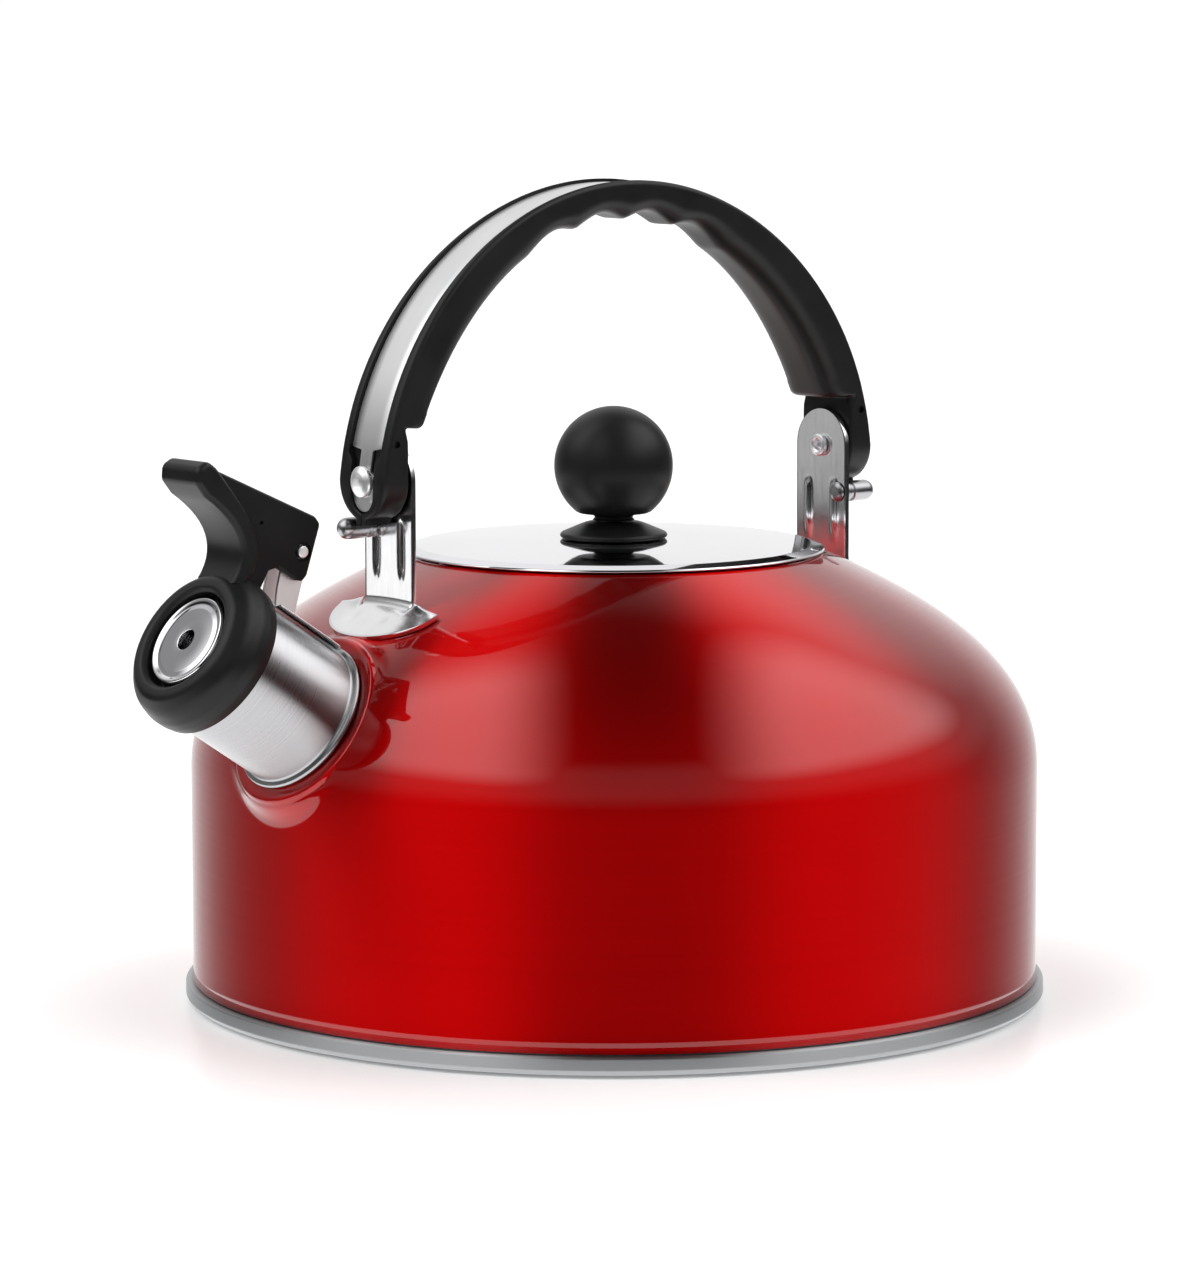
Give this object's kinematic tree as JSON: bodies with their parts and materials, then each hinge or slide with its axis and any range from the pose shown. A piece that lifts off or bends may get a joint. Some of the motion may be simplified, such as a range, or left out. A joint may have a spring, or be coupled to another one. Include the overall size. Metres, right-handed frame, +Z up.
{
  "type": "stovetop whistling kettle",
  "caption": "Domed red-lacquered steel kettle with an arched folding handle, lift-off lid, straight spout and a sprung whistle cap opened by a thumb lever.",
  "frame": {"origin": "centre of the resting face under the base", "axes": "+Z up; the spout points to -X; the handle's arch lies in the XZ plane and its pivots are on an axis along X"},
  "size_m": [0.2531, 0.22, 0.2083],
  "materials": {
    "lacquer": "translucent gloss lacquer over steel",
    "brushed_steel": "brushed",
    "polished_steel": "polished",
    "aluminium": "rolled",
    "bakelite": "moulded, satin",
    "spring_steel": "drawn wire"
  },
  "bodies": {
    "kettle": {"body_shell": "lacquer", "base_pan": "brushed_steel", "heat_disc": "aluminium", "capsule_cover": "brushed_steel", "spout_tube": "brushed_steel", "whistle_hinge_bracket": "polished_steel", "whistle_hinge_pin": "polished_steel", "whistle_spring": "spring_steel", "bracket_front": "polished_steel", "bracket_rear": "polished_steel", "pivot_rivet_front": "polished_steel", "pivot_rivet_rear": "polished_steel", "stop_stud_front": "polished_steel", "stop_stud_rear": "polished_steel"},
    "handle": {"handle_grip": "bakelite", "handle_strip": "polished_steel"},
    "lid": {"lid_cover": "polished_steel", "lid_skirt": "brushed_steel", "knob_base": "bakelite", "knob_ball": "bakelite", "knob_screw": "polished_steel", "knob_washer": "polished_steel"},
    "whistle": {"whistle_cap": "bakelite", "whistle_front_disc": "polished_steel", "whistle_rear_disc": "polished_steel"}
  },
  "joints": [
    {"name": "handle_fold", "type": "hinge", "parent": "kettle", "child": "handle", "pos_m": [0, 0, 0.1368], "axis": [1, 0, 0], "range_deg": [-85, 85]},
    {"name": "lid_lift", "type": "slide", "parent": "kettle", "child": "lid", "axis": [0, 0, 1], "range_m": [0, 0.04]},
    {"name": "whistle_flip", "type": "hinge", "parent": "kettle", "child": "whistle", "pos_m": [-0.10202, 0, 0.12155], "axis": [0, 1, 0], "range_deg": [0, 75], "stiffness_Nm_per_rad": 0.03, "springref_deg": -34.38}
  ]
}
